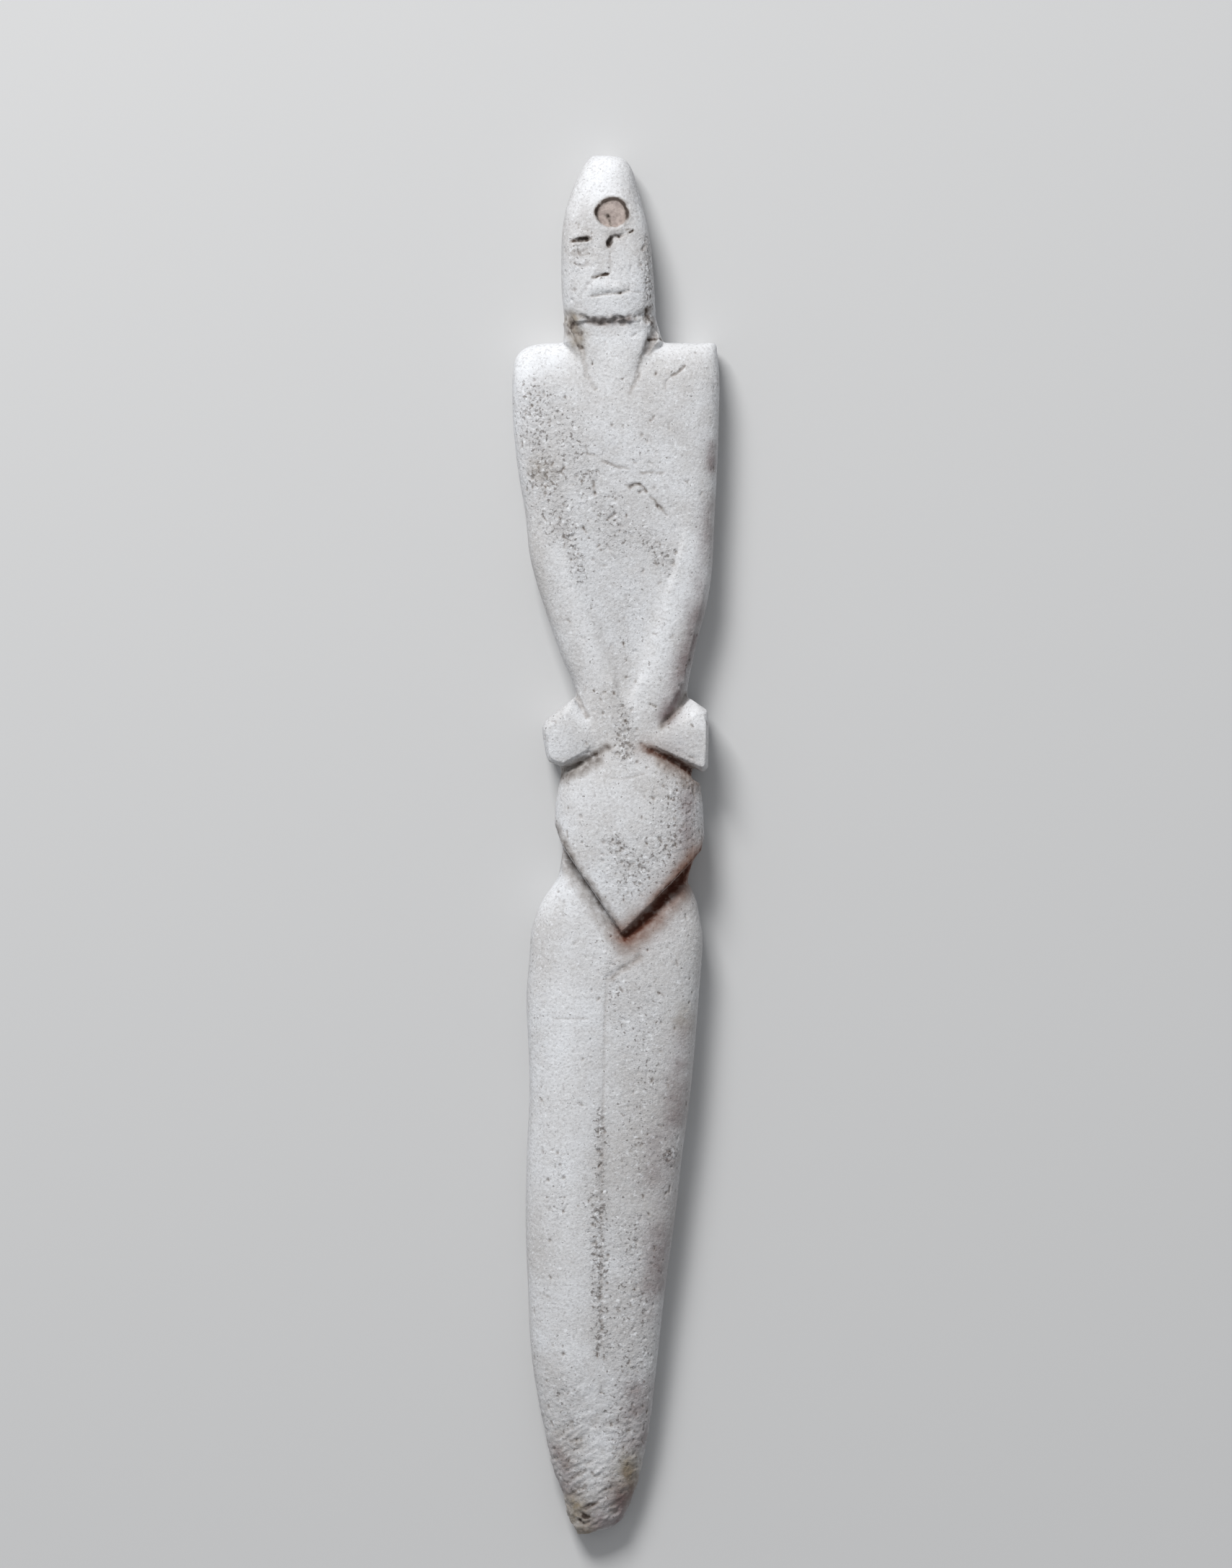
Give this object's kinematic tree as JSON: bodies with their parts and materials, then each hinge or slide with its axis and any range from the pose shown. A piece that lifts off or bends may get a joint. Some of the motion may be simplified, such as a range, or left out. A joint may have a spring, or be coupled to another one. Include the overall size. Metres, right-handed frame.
{
  "type": "bone idol",
  "caption": "Slender carved bone figurine with a tall head, crossed forearms, a pointed belly shield and joined legs, lying on its flat back.",
  "frame": {"origin": "centre of the footprint, on the ground face of the back", "axes": "+Y towards the head, +Z out of the carved front, +X to the right as the front is seen with the head up"},
  "size_m": [0.0252, 0.168, 0.0094],
  "materials": {
    "bone": "matte"
  },
  "bodies": {
    "root": {"idol": "bone"}
  },
  "joints": []
}
